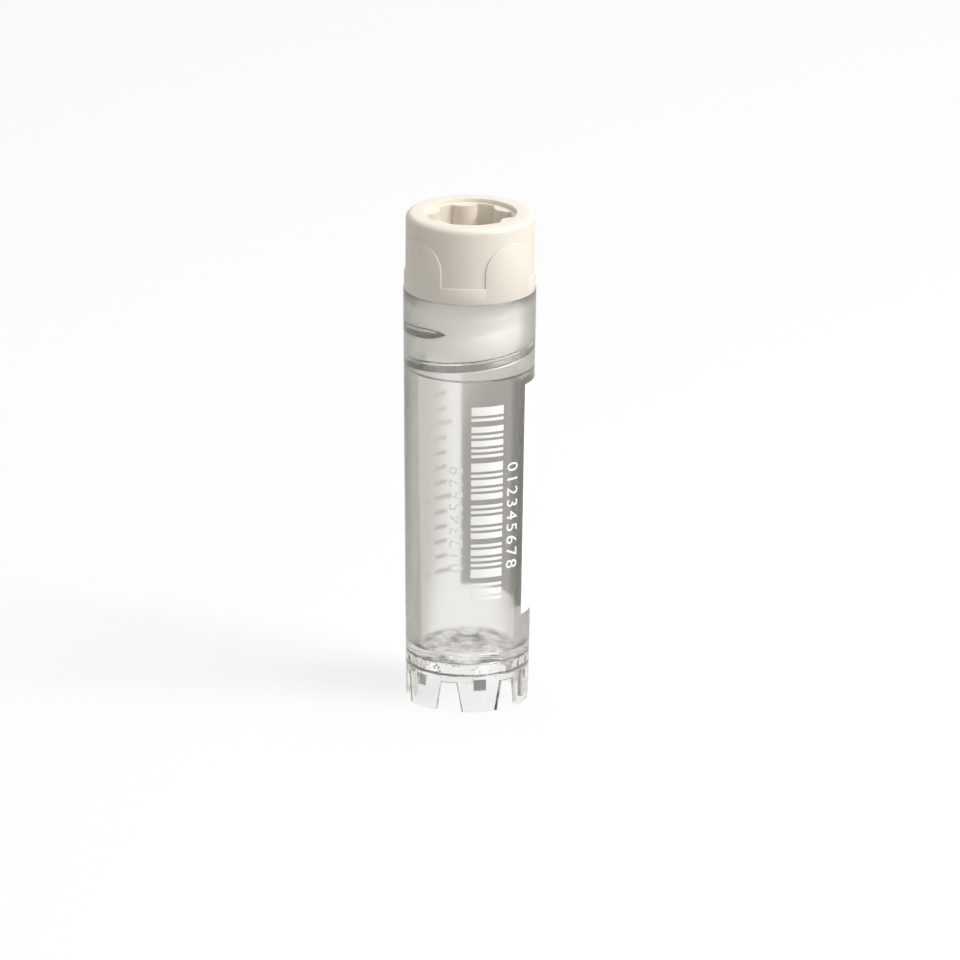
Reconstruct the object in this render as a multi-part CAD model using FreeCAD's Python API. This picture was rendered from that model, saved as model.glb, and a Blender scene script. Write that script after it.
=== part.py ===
import FreeCAD, Part
import math
import os

from FreeCAD import Vector

# A screw-capped cryogenic vial that stands on a lugged crown.
# Millimetres and degrees.  The origin is on the axis, in the plane of the feet, and +Z is up.
# Angles round the axis count from the front (-Y) towards the right-hand side (+X).

# Tube, outside
TUBE_HEIGHT = 40.1            # feet to mouth
MOUTH_DIAMETER = 12.5         # the wall tapers evenly from the mouth ...
FOOT_DIAMETER = 11.5          # ... to the feet
MOUTH_EDGE_BREAK = 0.12

# Tube, inside
COLLAR_WALL = 1.05            # round the bore that takes the cap's plug
COLLAR_DEPTH = 7.6            # mouth to shoulder
SHOULDER_STEP = 0.23          # how far the shoulder stands in from the collar bore
SHOULDER_SLOPE_HEIGHT = 0.25
BORE_DRAFT = 0.52             # the bore's radius shrinks by this much down to the floor
FLOOR_HEIGHT = 5.2            # lowest part of the cavity floor, round its domed middle
FLOOR_CORNER = 0.45           # slope between the bore and the floor, equal both ways
DOME_HEIGHT = 0.95            # of the floor's middle
DOME_FOOT_RADIUS = 2.0
DOME_TOP_RADIUS = 0.9
SEAT_HEIGHT = 1.2             # sealing cone in the mouth
SEAT_FLARE = 0.15             # how far that cone opens out

# Crown under the tube
CROWN_DEPTH = 3.45            # feet to the underside of the floor
CROWN_WALL = 0.55
RECESS_RADIUS = 4.6           # smaller recess in the top of the crown's hollow
RECESS_DEPTH = 1.1
LUG_COUNT = 6
LUG_ANGLE = 12.0              # angle of the first lug's middle
GAP_WIDTH_TOP = 1.56
GAP_WIDTH_FOOT = 2.5
GAP_TOP_LAND = 0.62           # gap top to the floor's underside
POCKET_WIDTH = 1.18           # blind pocket in the outside of each lug
POCKET_HEIGHT = 1.13
POCKET_TOP_LAND = 0.27        # pocket top to the floor's underside
POCKET_WEB = 0.22             # left behind the pocket

# Cap, outside
CAP_HEIGHT = 7.3              # above the mouth
CAP_INSET = 0.08              # the cap's lower ring stands in this far from the tube's edge
CAP_TOP_RADIUS = 0.62
CAP_RING_HEIGHT = 1.52
CAP_EDGE_BREAK = 0.1
GRIP_COUNT = 4
GRIP_ANGLE = 39.0             # angle of the first grip panel's middle
GRIP_WIDTH = 5.15
GRIP_HEIGHT = 5.57            # cap's lower edge to the top of the arch
GRIP_RELIEF = 0.13            # how far the grip panels and the ring stand proud of the wall

# Cap, driver socket
SOCKET_LOBES = 6
SOCKET_ANGLE = 7.8            # angle of the first ridge's middle
SOCKET_RADIUS = 4.0           # to the bottom of the pockets
SOCKET_RIDGE_RADIUS = 3.15    # to the crowns of the ridges
SOCKET_RIDGE_ANGLE = 35.0     # width of a ridge at the pocket radius
SOCKET_DEPTH = 5.4            # below the cap's top
COUNTERBORE_LEDGE = 0.35      # from the pockets out to the counterbore's wall
COUNTERBORE_DEPTH = 0.4

# Cap, plug
PLUG_LENGTH = 6.1             # below the mouth plane
PLUG_THREAD_ROOM = 0.66       # between the plug's core and the collar bore, for the thread
PLUG_WALL = 1.54
PLUG_FLOOR = 1.3
PLUG_EDGE_BREAK = 0.2

# Sealing ring
RING_CLEARANCE = 0.05         # to the plug and to the sealing cone
RING_FOOT_GAP = 0.1           # ring's lower edge to the foot of the sealing cone
RING_EDGE_BREAK = 0.08

# Print on the tube, a raised film of ink
PRINT_THICKNESS = 0.05
PATCH_START_ANGLE = 58.4
PATCH_END_ANGLE = 188.0
PATCH_BOTTOM = 8.9
PATCH_TOP_GAP = 8.6           # patch top to the mouth
BARCODE_START_ANGLE = 2.3
BARCODE_END_ANGLE = 32.0
BARCODE_BOTTOM = 11.1
BARCODE_TOP_GAP = 10.0
BARCODE_BARS = 25
BAR_MODULES = (1, 2, 1, 3, 1, 1, 2)      # bar heights, used in turn
SPACE_MODULES = (1, 1, 2, 1, 1)          # spaces between them, used in turn
MARK_STEP_VOLUME = 100.0      # cubic millimetres from one mark to the next
MARK_FIRST_HEIGHT = 10.45     # lowest mark, at five steps of volume
MARK_FIRST_STEP = 5
MARK_LONG_EVERY = 5
MARK_TOP_GAP = 12.0
MARK_THICKNESS = 0.3
MARK_END_ANGLE = 222.0
MARK_START_ANGLE_SHORT = 205.0
MARK_START_ANGLE_LONG = 199.5

# Sizes that follow from those above
MOUTH_RADIUS = MOUTH_DIAMETER / 2
FOOT_RADIUS = FOOT_DIAMETER / 2
COLLAR_RADIUS = MOUTH_RADIUS - COLLAR_WALL
SHOULDER_HEIGHT = TUBE_HEIGHT - COLLAR_DEPTH
BORE_TOP_RADIUS = COLLAR_RADIUS - SHOULDER_STEP
BORE_FLOOR_RADIUS = BORE_TOP_RADIUS - BORE_DRAFT
CAP_TOP = TUBE_HEIGHT + CAP_HEIGHT
GRIP_RADIUS = MOUTH_RADIUS - CAP_INSET
CAP_WALL_RADIUS = GRIP_RADIUS - GRIP_RELIEF
COUNTERBORE_RADIUS = SOCKET_RADIUS + COUNTERBORE_LEDGE
PLUG_RADIUS = COLLAR_RADIUS - PLUG_THREAD_ROOM
PLUG_BOTTOM = TUBE_HEIGHT - PLUG_LENGTH

OVERCUT = 1.0                 # how far a cutting tool runs past the face it opens
OVERLAP = 0.4                 # how far a fused-on form reaches into its wall
ORIGIN = Vector(0, 0, 0)
UP = Vector(0, 0, 1)


def outside_radius(height):
    """Radius of the tube's tapered outer wall at a height above the feet."""
    return FOOT_RADIUS + (MOUTH_RADIUS - FOOT_RADIUS) * height / TUBE_HEIGHT


def outline(corners):
    """Closed wire in the XZ plane.  A corner is (x, z) or (x, z, radius of its round)."""
    count = len(corners)
    points = [Vector(corner[0], 0, corner[1]) for corner in corners]
    rounds = []
    for i, corner in enumerate(corners):
        here = points[i]
        if len(corner) < 3:
            rounds.append((here, None, here))
            continue
        radius = corner[2]
        to_before = (points[i - 1] - here).normalize()
        to_after = (points[(i + 1) % count] - here).normalize()
        half_angle = to_before.getAngle(to_after) / 2
        reach = radius / math.tan(half_angle)
        inward = (to_before + to_after).normalize()
        crown = here + inward * (radius / math.sin(half_angle) - radius)
        rounds.append((here + to_before * reach, crown, here + to_after * reach))
    edges = []
    for i, (start, crown, end) in enumerate(rounds):
        if crown is not None:
            edges.append(Part.Arc(start, crown, end).toShape())
        next_start = rounds[(i + 1) % count][0]
        edges.append(Part.LineSegment(end, next_start).toShape())
    return Part.Wire(edges)


def turned(corners):
    """Solid of revolution round the axis."""
    return Part.Face(outline(corners)).revolve(ORIGIN, UP, 360)


def turn_to(shape, angle):
    """Copy of a shape that faces the front, turned to an angle round the axis."""
    copy = shape.copy()
    copy.rotate(ORIGIN, UP, angle)
    return copy


def ring_of(shape, count, first_angle):
    """Copies of a shape that faces the front, spaced evenly round the axis."""
    return [turn_to(shape, first_angle + 360.0 * i / count) for i in range(count)]


def radial_tool(corners, inner, outer):
    """Prism whose outline faces the front, between two distances from the axis."""
    face = Part.Face(outline(corners))
    face.translate(Vector(0, -inner, 0))
    return face.extrude(Vector(0, inner - outer, 0))


def tube_blank():
    """Tube as turned: outer taper, mouth, bores, floor and the stepped hollow under it."""
    seat_radius = COLLAR_RADIUS + SEAT_FLARE
    mouth_edge = TUBE_HEIGHT - MOUTH_EDGE_BREAK
    dome_top = FLOOR_HEIGHT + DOME_HEIGHT
    corner = min(FLOOR_CORNER, 0.8 * (BORE_FLOOR_RADIUS - DOME_FOOT_RADIUS))
    return turned([
        (0, CROWN_DEPTH + RECESS_DEPTH),
        (RECESS_RADIUS, CROWN_DEPTH + RECESS_DEPTH),
        (RECESS_RADIUS, CROWN_DEPTH),
        (outside_radius(CROWN_DEPTH) - CROWN_WALL, CROWN_DEPTH),
        (FOOT_RADIUS - CROWN_WALL, 0),
        (FOOT_RADIUS, 0),
        (outside_radius(mouth_edge), mouth_edge),
        (MOUTH_RADIUS - MOUTH_EDGE_BREAK, TUBE_HEIGHT),
        (seat_radius, TUBE_HEIGHT),
        (COLLAR_RADIUS, TUBE_HEIGHT - SEAT_HEIGHT),
        (COLLAR_RADIUS, SHOULDER_HEIGHT),
        (BORE_TOP_RADIUS, SHOULDER_HEIGHT - SHOULDER_SLOPE_HEIGHT),
        (BORE_FLOOR_RADIUS, FLOOR_HEIGHT + corner),
        (BORE_FLOOR_RADIUS - corner, FLOOR_HEIGHT),
        (DOME_FOOT_RADIUS, FLOOR_HEIGHT),
        (DOME_TOP_RADIUS, dome_top),
        (0, dome_top),
    ])


def crown_gap():
    """Tool for one gap between lugs, wider at the feet."""
    gap_top = CROWN_DEPTH - GAP_TOP_LAND
    half_top = GAP_WIDTH_TOP / 2
    half_foot = GAP_WIDTH_FOOT / 2
    spread = (half_foot - half_top) / gap_top
    half_below = half_foot + spread * OVERCUT
    corners = [
        (-half_below, -OVERCUT),
        (half_below, -OVERCUT),
        (half_top, gap_top),
        (-half_top, gap_top),
    ]
    return radial_tool(corners, 0, FOOT_RADIUS + OVERCUT)


def lug_pocket():
    """Tool for the pocket high in the middle of one lug."""
    half_width = POCKET_WIDTH / 2
    top = CROWN_DEPTH - POCKET_TOP_LAND
    bottom = top - POCKET_HEIGHT
    corners = [
        (-half_width, bottom),
        (half_width, bottom),
        (half_width, top),
        (-half_width, top),
    ]
    pocket_floor = outside_radius(top) - CROWN_WALL + POCKET_WEB
    return radial_tool(corners, pocket_floor, FOOT_RADIUS + OVERCUT)


def tube():
    """Tube, with the gaps of its crown cut through and the pockets cut in."""
    half_pitch = 180.0 / LUG_COUNT
    tools = ring_of(crown_gap(), LUG_COUNT, LUG_ANGLE + half_pitch)
    tools += ring_of(lug_pocket(), LUG_COUNT, LUG_ANGLE)
    return tube_blank().cut(tools)


def cap_blank():
    """Cap as turned: wall, counterbore and the plug with its hollow core."""
    core_radius = PLUG_RADIUS - PLUG_WALL
    top_land = CAP_WALL_RADIUS - COUNTERBORE_RADIUS
    return turned([
        (0, PLUG_BOTTOM),
        (PLUG_RADIUS - PLUG_EDGE_BREAK, PLUG_BOTTOM),
        (PLUG_RADIUS, PLUG_BOTTOM + PLUG_EDGE_BREAK),
        (PLUG_RADIUS, TUBE_HEIGHT),
        (CAP_WALL_RADIUS, TUBE_HEIGHT),
        (CAP_WALL_RADIUS, CAP_TOP, min(CAP_TOP_RADIUS, 0.8 * top_land)),
        (COUNTERBORE_RADIUS, CAP_TOP),
        (COUNTERBORE_RADIUS, CAP_TOP - COUNTERBORE_DEPTH),
        (core_radius, CAP_TOP - COUNTERBORE_DEPTH),
        (core_radius, PLUG_BOTTOM + PLUG_FLOOR),
        (0, PLUG_BOTTOM + PLUG_FLOOR),
    ])


def grip_arches():
    """Lower ring and arched grip panels, raised from the cap's wall."""
    half_width = GRIP_WIDTH / 2
    spring_height = GRIP_HEIGHT - half_width
    sleeve = turned([
        (CAP_WALL_RADIUS - OVERLAP, TUBE_HEIGHT),
        (GRIP_RADIUS - CAP_EDGE_BREAK, TUBE_HEIGHT),
        (GRIP_RADIUS, TUBE_HEIGHT + CAP_EDGE_BREAK),
        (GRIP_RADIUS, TUBE_HEIGHT + GRIP_HEIGHT),
        (CAP_WALL_RADIUS - OVERLAP, TUBE_HEIGHT + GRIP_HEIGHT),
    ])
    arch = Part.Wire([
        Part.LineSegment(Vector(-half_width, 0, 0), Vector(half_width, 0, 0)).toShape(),
        Part.LineSegment(Vector(half_width, 0, 0), Vector(half_width, 0, spring_height)).toShape(),
        Part.Arc(
            Vector(half_width, 0, spring_height),
            Vector(0, 0, GRIP_HEIGHT),
            Vector(-half_width, 0, spring_height),
        ).toShape(),
        Part.LineSegment(Vector(-half_width, 0, spring_height), Vector(-half_width, 0, 0)).toShape(),
    ])
    panel = Part.Face(arch).extrude(Vector(0, -MOUTH_DIAMETER, 0))
    panel.translate(Vector(0, 0, TUBE_HEIGHT))
    ring = Part.makeCylinder(MOUTH_DIAMETER, CAP_RING_HEIGHT, Vector(0, 0, TUBE_HEIGHT))
    return sleeve.common(ring.fuse(ring_of(panel, GRIP_COUNT, GRIP_ANGLE)))


def socket_point(radius, angle):
    """Point of the socket's outline, at the socket's floor."""
    turn = math.radians(angle)
    return Vector(radius * math.sin(turn), -radius * math.cos(turn), CAP_TOP - SOCKET_DEPTH)


def driver_socket():
    """Tool for the lobed socket: ridges that bulge in, between pockets on one circle."""
    pitch = 360.0 / SOCKET_LOBES
    half_ridge = SOCKET_RIDGE_ANGLE / 2
    edges = []
    for i in range(SOCKET_LOBES):
        middle = SOCKET_ANGLE + i * pitch
        ridge_start = socket_point(SOCKET_RADIUS, middle - half_ridge)
        ridge_crown = socket_point(SOCKET_RIDGE_RADIUS, middle)
        ridge_end = socket_point(SOCKET_RADIUS, middle + half_ridge)
        pocket_middle = socket_point(SOCKET_RADIUS, middle + pitch / 2)
        next_start = socket_point(SOCKET_RADIUS, middle + pitch - half_ridge)
        edges.append(Part.Arc(ridge_start, ridge_crown, ridge_end).toShape())
        edges.append(Part.Arc(ridge_end, pocket_middle, next_start).toShape())
    return Part.Face(Part.Wire(edges)).extrude(Vector(0, 0, SOCKET_DEPTH + OVERCUT))


def screw_cap():
    """Cap: turned blank, raised grip, driver socket."""
    return cap_blank().fuse(grip_arches()).cut(driver_socket())


def sealing_ring():
    """Soft ring under the cap's flange, inside the tube's sealing cone."""
    inner = PLUG_RADIUS + RING_CLEARANCE
    ring_height = SEAT_HEIGHT - RING_FOOT_GAP
    foot_flare = SEAT_FLARE * RING_FOOT_GAP / SEAT_HEIGHT
    foot_outer = COLLAR_RADIUS + foot_flare - RING_CLEARANCE
    top_outer = COLLAR_RADIUS + SEAT_FLARE - RING_CLEARANCE
    bottom = TUBE_HEIGHT - ring_height
    return turned([
        (inner, bottom),
        (foot_outer - RING_EDGE_BREAK, bottom),
        (foot_outer, bottom + RING_EDGE_BREAK),
        (top_outer, TUBE_HEIGHT),
        (inner, TUBE_HEIGHT),
    ])


def printed_field(start_angle, end_angle, bottom, top):
    """Film of ink on the tapered wall, between two angles and two heights."""
    face = Part.Face(outline([
        (outside_radius(bottom), bottom),
        (outside_radius(bottom) + PRINT_THICKNESS, bottom),
        (outside_radius(top) + PRINT_THICKNESS, top),
        (outside_radius(top), top),
    ]))
    from_x_axis = -90
    face.rotate(ORIGIN, UP, start_angle + from_x_axis)
    return face.revolve(ORIGIN, UP, end_angle - start_angle)


def writing_patch():
    """Plain white field to write on."""
    return printed_field(PATCH_START_ANGLE, PATCH_END_ANGLE, PATCH_BOTTOM, TUBE_HEIGHT - PATCH_TOP_GAP)


def barcode_bars():
    """Stack of bars of mixed heights, a plain pattern that encodes nothing."""
    bars = [BAR_MODULES[i % len(BAR_MODULES)] for i in range(BARCODE_BARS)]
    spaces = [SPACE_MODULES[i % len(SPACE_MODULES)] for i in range(BARCODE_BARS - 1)]
    length = TUBE_HEIGHT - BARCODE_TOP_GAP - BARCODE_BOTTOM
    module = length / (sum(bars) + sum(spaces))
    fields = []
    bottom = BARCODE_BOTTOM
    for bar, space in zip(bars, spaces + [0]):
        top = bottom + bar * module
        fields.append(printed_field(BARCODE_START_ANGLE, BARCODE_END_ANGLE, bottom, top))
        bottom = top + space * module
    return Part.makeCompound(fields)


def graduation_marks():
    """Volume marks, one step of liquid apart, with every fifth one longer."""
    mean_bore = (BORE_TOP_RADIUS + BORE_FLOOR_RADIUS) / 2
    pitch = MARK_STEP_VOLUME / (math.pi * mean_bore ** 2)
    last_height = TUBE_HEIGHT - MARK_TOP_GAP
    count = 1 + int((last_height - MARK_FIRST_HEIGHT) / pitch)
    fields = []
    for i in range(count):
        is_long = (MARK_FIRST_STEP + i) % MARK_LONG_EVERY == 0
        start = MARK_START_ANGLE_LONG if is_long else MARK_START_ANGLE_SHORT
        middle = MARK_FIRST_HEIGHT + i * pitch
        fields.append(printed_field(
            start, MARK_END_ANGLE, middle - MARK_THICKNESS / 2, middle + MARK_THICKNESS / 2))
    return Part.makeCompound(fields)


PIECES = {
    "tube": tube,
    "screw_cap": screw_cap,
    "sealing_ring": sealing_ring,
    "writing_patch": writing_patch,
    "barcode_bars": barcode_bars,
    "graduation_marks": graduation_marks,
}

os.makedirs("parts", exist_ok=True)
for name, make in PIECES.items():
    piece = make()
    piece.exportStep(f"parts/{name}.step")
    print(f"{name}: {len(piece.Solids)} solid(s), {piece.Volume:.2f} mm3, valid {piece.isValid()}")
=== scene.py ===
import math

import bmesh
import bpy
from mathutils import Matrix, Vector


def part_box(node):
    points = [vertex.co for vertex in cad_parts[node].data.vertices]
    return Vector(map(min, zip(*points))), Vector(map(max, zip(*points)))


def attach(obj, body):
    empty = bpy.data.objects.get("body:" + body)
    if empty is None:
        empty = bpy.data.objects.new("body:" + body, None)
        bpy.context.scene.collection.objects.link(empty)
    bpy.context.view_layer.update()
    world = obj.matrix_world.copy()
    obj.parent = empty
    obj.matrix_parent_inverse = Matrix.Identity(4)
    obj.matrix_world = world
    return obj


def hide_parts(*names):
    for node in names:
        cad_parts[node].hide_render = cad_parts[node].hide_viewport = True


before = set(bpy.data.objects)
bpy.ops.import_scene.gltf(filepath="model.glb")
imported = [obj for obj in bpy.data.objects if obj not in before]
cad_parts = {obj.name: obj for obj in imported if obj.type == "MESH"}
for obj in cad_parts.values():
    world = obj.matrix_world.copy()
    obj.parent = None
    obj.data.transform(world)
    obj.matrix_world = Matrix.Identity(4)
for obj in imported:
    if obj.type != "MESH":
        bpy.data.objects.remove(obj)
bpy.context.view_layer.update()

# Sizes in metres, angles in degrees.  Angles round the axis count from the front (-Y) towards +X.
MM = 0.001
SEGMENTS = 360                       # one vertex for each degree round the axis

tube_low, tube_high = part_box("tube")
cap_low, cap_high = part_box("screw_cap")
ring_low, ring_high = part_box("sealing_ring")

# Tube
MOUTH_HEIGHT = tube_high[2]
MOUTH_RADIUS = min(tube_high[0], -tube_low[0])
FOOT_RADIUS = 5.75 * MM
MOUTH_ROUND = 0.12 * MM
COLLAR_RADIUS = MOUTH_RADIUS - 1.05 * MM
SHOULDER_HEIGHT = MOUTH_HEIGHT - 7.6 * MM
SHOULDER_DROP = 0.25 * MM
BORE_TOP_RADIUS = COLLAR_RADIUS - 0.23 * MM
BORE_FLOOR_RADIUS = BORE_TOP_RADIUS - 0.52 * MM
FLOOR_HEIGHT = 5.2 * MM              # lowest part of the cavity floor, round its domed middle
FLOOR_ROUND = 0.5 * MM
DOME_HEIGHT = 0.95 * MM
DOME_FOOT_RADIUS = 2.0 * MM
DOME_TOP_RADIUS = 0.9 * MM
DOME_ROUND = 0.4 * MM
SEAT_HEIGHT = 1.2 * MM
SEAT_FLARE = 0.15 * MM

# Crown
CROWN_DEPTH = 3.45 * MM
BASE_TOP = CROWN_DEPTH + 0.9 * MM    # row on the outer wall just above the crown
CROWN_WALL = 0.55 * MM
CROWN_ROUND = 0.15 * MM
RECESS_RADIUS = 4.6 * MM             # smaller recess in the top of the crown's hollow
RECESS_TOP = CROWN_DEPTH + 1.1 * MM
RECESS_ROUND = 0.3 * MM
LUGS = 6
LUG_TURN = 12.0
GAP_TOP = CROWN_DEPTH - 0.62 * MM
GAP_WIDTH_TOP = 1.56 * MM
GAP_WIDTH_FOOT = 2.5 * MM
POCKET_TOP = CROWN_DEPTH - 0.27 * MM
POCKET_HEIGHT = 1.13 * MM
POCKET_WIDTH = 1.18 * MM
POCKET_WEB = 0.22 * MM               # left behind each pocket
CROWN_EDGE = 0.08 * MM

# Thread: one rib inside the collar, and the groove that it runs in round the plug
THREAD_LEAD = 3.2 * MM
THREAD_START = -110.0                # angle where the rib leaves the shoulder
THREAD_END = 336.0                   # angle where it runs out
THREAD_RUNOUT = 26.0
RIB_TOP_FRONT = 34.36 * MM           # height of the rib's upper edge at the front
RIB_MIDDLE_FRONT = RIB_TOP_FRONT - 0.54 * MM
RIB_UPPER_FLANK = 0.30 * MM
RIB_CREST = 0.14 * MM
RIB_LOWER_FLANK = 0.60 * MM
RIB_DEPTH = 0.62 * MM
GROOVE_HALF = 0.95 * MM              # the plug's groove clears the rib on both sides
GROOVE_LAND = 0.2                    # share of that half which is the groove's flat bottom
THREAD_FADE = 0.4 * MM               # height over which the plug's thread fades out at its ends
PLUG_CREST_RADIUS = COLLAR_RADIUS - 0.25 * MM
PLUG_THREAD_TOP = MOUTH_HEIGHT - 2.0 * MM
THREAD_ROW = 0.05 * MM               # height of one row of faces where there is thread

# Cap
CAP_TOP = cap_high[2]
PLUG_BOTTOM = cap_low[2]
GRIP_RADIUS = cap_high[0]
GRIP_RELIEF = 0.13 * MM
WALL_RADIUS = GRIP_RADIUS - GRIP_RELIEF
CAP_ROUND = 0.62 * MM
CAP_TURN = 0.3                       # puts vertices on the corners of the socket's ridges
RING_HEIGHT = 1.52 * MM
GRIPS = 4
GRIP_TURN = 39.0
GRIP_WIDTH = 5.15 * MM
GRIP_HEIGHT = 5.57 * MM
GRIP_EDGE = 0.05 * MM
SLEEVE_ROOT = 0.25 * MM              # how far the grips reach into the cap's wall
SOCKET_LOBES = 6
SOCKET_TURN = 7.8
SOCKET_RADIUS = 4.0 * MM
SOCKET_RIDGE_RADIUS = 3.15 * MM
SOCKET_RIDGE_ANGLE = 35.0
SOCKET_DEPTH = 5.4 * MM
COUNTERBORE_RADIUS = SOCKET_RADIUS + 0.35 * MM
COUNTERBORE_DEPTH = 0.4 * MM
SMALL_ROUND = 0.06 * MM
NECK_RADIUS = COLLAR_RADIUS - 0.66 * MM
CORE_RADIUS = NECK_RADIUS - 1.54 * MM
PLUG_FLOOR = 1.3 * MM
PLUG_EDGE = 0.2 * MM
PLUG_THREAD_FOOT = PLUG_BOTTOM + PLUG_EDGE

# Sealing ring
RING_CLEARANCE = 0.05 * MM
RING_FOOT_ROUND = 0.1 * MM
RING_TOP_ROUND = 0.04 * MM

# Print
INK_SINK = 0.012 * MM                # ink lies in contact with the wall, so it starts just inside it
INK_RISE = 0.03 * MM
INK_SHADE_FROM = 5.2 * MM            # beyond this the back of the ink is painted darker, a painted shade where it is seen along the wall
INK_PAINTED_GLOW = 0.09                      # painted glow on the ink's outer face, for light that comes through the thin ink from behind
PATCH_START = 58.4
PATCH_END = 188.0
PATCH_BOTTOM = 8.9 * MM
PATCH_TOP = MOUTH_HEIGHT - 8.6 * MM
BARCODE_START = 2.3
BARCODE_END = 32.0
BARCODE_BOTTOM = 11.1 * MM
BARCODE_TOP = MOUTH_HEIGHT - 10.0 * MM
BARCODE_BARS = 25
BAR_MODULES = (1, 2, 1, 3, 1, 1, 2)
SPACE_MODULES = (1, 1, 2, 1, 1)
MARK_FIRST_HEIGHT = 10.45 * MM
MARK_COUNT = 13
MARK_PITCH = 0.1e-6 / (math.pi * ((BORE_TOP_RADIUS + BORE_FLOOR_RADIUS) / 2) ** 2)
MARK_THICKNESS = 0.3 * MM
MARK_END = 222.0
MARK_START_SHORT = 205.0
MARK_START_LONG = 199.5
MARK_LONG_EVERY = 5
DIGITS = "012345678"
DIGIT_SIZE = 1.87 * MM
DIGIT_SPACING = 1.28
DIGITS_MIDDLE = 19.05 * MM
DIGIT_ROWS = (("digits_right", 42.4, -1), ("digits_left", -10.4, 1))    # name, angle, quarter turns
VOLUMES = ((0, "0.5"), (5, "1.0"), (10, "1.5"))      # mark that each number stands beside
VOLUMES_TURN = 238.5
VOLUME_SIZE = 1.3 * MM
WRAP_STEP = 0.25 * MM                # width of the strips that wrap lettering round the wall
WRAP_STRIPS = 12                     # to each side of the middle

OVERCUT = 1.0 * MM                   # how far a cutting tool runs past the face it opens
SEAM = 0.02 * MM                     # small gap or overlap where two faces would coincide
FLOOR_LUMPS = 45.0                   # unevenness of the floor, against the waves in the walls
BODY_TINT = (0.974, 0.966, 0.952, 1)
# painted shade: the crown's plastic is tinted darker than the body's
CROWN_PAINTED_SHADE = (0.925, 0.918, 0.902, 1)
HAZE_TONE = (0.90, 0.90, 0.88, 1)
LEAK_TINT = (0.97, 0.97, 0.96, 1)
SHEEN_TINT = (0.95, 0.95, 0.93, 1)
SHADOW_TINT = (0.96, 0.96, 0.955, 1)
# painted shade: dark grey seen in the pockets' floors
POCKET_PAINTED_SHADE = (0.32, 0.32, 0.31, 1)
RIB_FLANK_PAINTED_SHADE = (0.15, 0.15, 0.145, 1)    # painted shade on the thread rib's lower flank, for the dark that it shows by refraction
FLANK_SLOPE = -0.25                  # faces of the rib that look down more than this are that flank
EDGE = 0.05 * MM                     # how far a mask reaches past the face that it is for
POCKET_EDGE = 0.06 * MM              # the same on the far side of a pocket's floor
RIB_EDGE = 0.04 * MM                 # how far the rib stands out where the painted shade on its flank begins
MID_WALL_RADIUS = 5.5 * MM        # lies inside the wall at every height
BORE_FOOT = FLOOR_HEIGHT + 0.35 * MM
PLASTIC_IOR = 1.49
# share of the pockets' floors given the dark grey painted shade
POCKET_HAZE_AND_SHADE = 0.85
CLEAR_HAZE = 0.01
BORE_SATIN = 0.14
BORE_HAZE = 0.05
BORE_LEAK = 0.18                     # share of light let out where the bore would reflect it all
GAP_SHEEN = 0.4                      # silvery look of the thin gap round the plug
NATURAL_DEPTH = 4.0 * MM             # how far light spreads in uncoloured plastic
NATURAL_PAINTED_GLOW = 0.09                  # painted glow, for light that the plug carries round from the lit side

# Stage
FLOOR_GLOW = 0.70
FLOOR_SHOWN = 0.25
FLOOR_BOUNCE = (0.52, 0.52, 0.52, 1)
WHITE = (1, 1, 1, 1)
BLACK = (0, 0, 0, 1)
ROOM_LEFT = (0.66, 0.655, 0.60, 1)
ROOM_RIGHT = (0.73, 0.71, 0.67, 1)
ROOM_AHEAD = (0.95, 0.95, 0.94, 1)
ROOM_ABOVE = (0.16, 0.16, 0.15, 1)
CARD_EDGE = (0.985, 0.999)           # how far back a direction points where the white card begins
ROOM_SIDES = (-0.5, 0.7)             # how far right it points where the room's left turns to its right
ROOM_FRONT = (0.1, -0.4)             # how far back it points where the room's sides turn to its front
ROOM_CEILING = (0.30, 0.55)          # how far up it points where the room turns to its ceiling
WHITE_HALF_WIDTH = 0.012             # of the strip of floor that shows white through the vial
WHITE_START = -0.02                  # where that strip starts, in front of the vial
WORLD_STRENGTH = 0.44
KEY_AZIMUTH = 70.0
KEY_ELEVATION = 45.0
KEY_DISTANCE = 0.8
KEY_LEVEL = 0.92                     # light on a white card that faces the key
KEY_SIZE = (0.4, 0.4)
KEY_COLOUR = (1, 0.99, 0.97)
TOP_PLACE = (0, 0.1, 0.8)
TOP_LEVEL = 0.2
TOP_SIZE = (0.5, 0.5)
MIDDLE = (0, 0, 0.024)               # of the object, which the lamps aim at
VIEW_ELEVATION = 17.5
VIEW_ROLL = 0.39
VIEW_DISTANCE = 2.0
FRAME_WIDTH = 90.14 * MM             # seen across at the aim point
AIM = Vector((1.08 * MM, 0, 21.09 * MM))


def outside_radius(height):
    """Radius of the tube's tapered outer wall."""
    return FOOT_RADIUS + (MOUTH_RADIUS - FOOT_RADIUS) * height / MOUTH_HEIGHT


# ---------------------------------------------------------------- modelling helpers

def deselect():
    bpy.ops.object.select_all(action="DESELECT")


def make_active(piece):
    deselect()
    piece.select_set(True)
    bpy.context.view_layer.objects.active = piece


def rounded(corners, steps=6):
    """Points of a profile whose corners may carry a round: (radius, height, round)."""
    points = []
    for i, corner in enumerate(corners):
        here = Vector(corner[:2])
        if len(corner) < 3 or i in (0, len(corners) - 1):
            points.append(here)
            continue
        to_before = (Vector(corners[i - 1][:2]) - here).normalized()
        to_after = (Vector(corners[i + 1][:2]) - here).normalized()
        half_angle = to_before.angle(to_after) / 2
        inward = (to_before + to_after).normalized()
        centre = here + inward * corner[2] / math.sin(half_angle)
        start = here + to_before * corner[2] / math.tan(half_angle) - centre
        sweep = start.angle_signed(here + to_after * corner[2] / math.tan(half_angle) - centre)
        for step in range(steps + 1):
            turn = Matrix.Rotation(-sweep * step / steps, 2)
            points.append(centre + turn @ start)
    return points


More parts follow.
